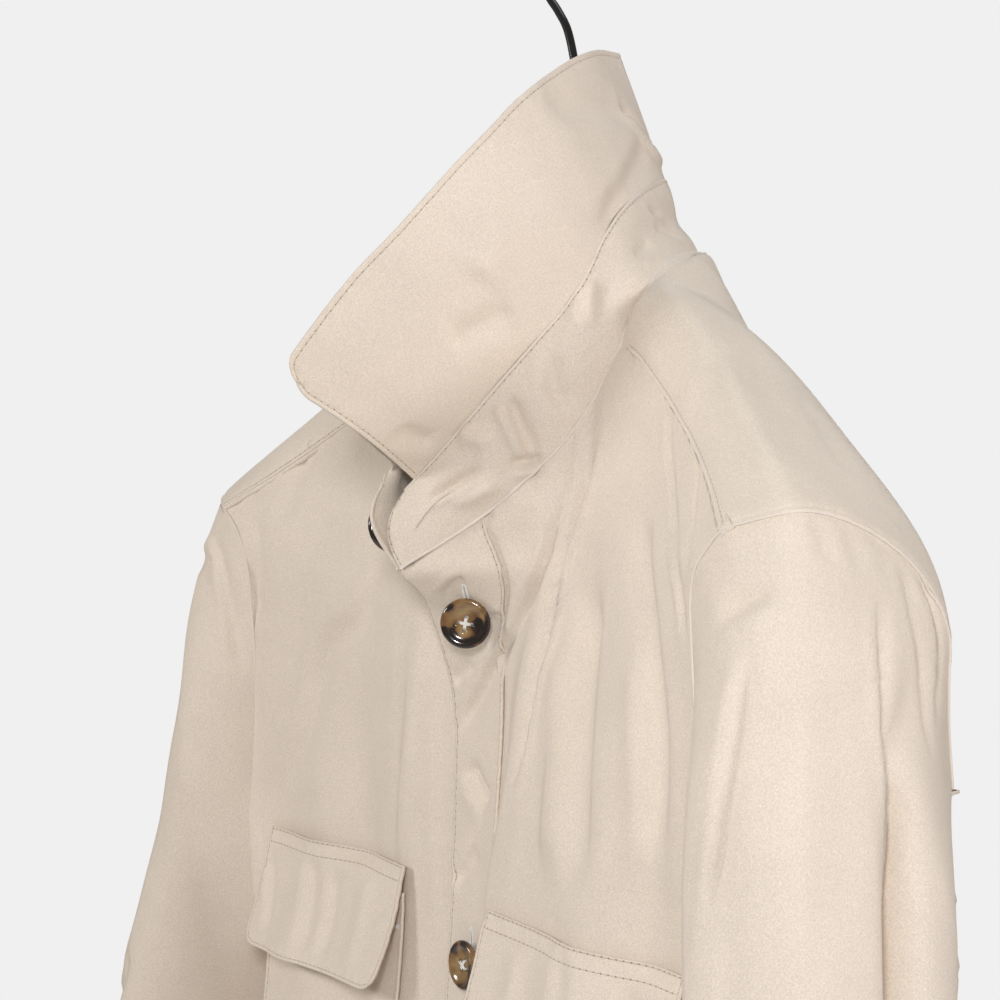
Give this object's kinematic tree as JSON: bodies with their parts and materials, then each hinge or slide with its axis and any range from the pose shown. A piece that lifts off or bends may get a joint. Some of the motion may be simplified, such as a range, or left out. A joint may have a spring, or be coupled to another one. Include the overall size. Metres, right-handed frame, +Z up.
{
  "type": "overshirt on a hanger",
  "caption": "Light cotton overshirt buttoned on a hanger: stand collar with its leaf turned up, shoulder yoke, flap chest pockets and long cuffed sleeves.",
  "frame": {"origin": "inside top of the hook's crown, where a rail carries the hanger", "axes": "+X to the wearer's left, +Y to the garment's back, +Z up; the buttoned front faces -Y"},
  "size_m": [0.5804, 0.2282, 0.8536],
  "materials": {
    "cloth": "fine cotton sateen, beige, soft sheen, tone-on-tone topstitching",
    "button": "polished tortoise resin, black and amber patches",
    "hanger": "smooth satin black",
    "hook": "black coated wire"
  },
  "bodies": {
    "root": {"back": "cloth", "yoke": "cloth", "front_left": "cloth", "front_right": "cloth", "placket_left": "cloth", "placket_right": "cloth", "sleeve_left": "cloth", "sleeve_right": "cloth", "cuff_left": "cloth", "cuff_right": "cloth", "collar_stand": "cloth", "collar_leaf": "cloth", "pocket_left": "cloth", "pocket_right": "cloth", "flap_left": "cloth", "flap_right": "cloth", "button_front_1": "button", "button_front_2": "button", "button_front_3": "button", "button_front_4": "button", "button_stand": "button", "button_cuff_left": "button", "button_cuff_right": "button", "hanger_body": "hanger", "hanger_hook": "hook"}
  },
  "joints": []
}
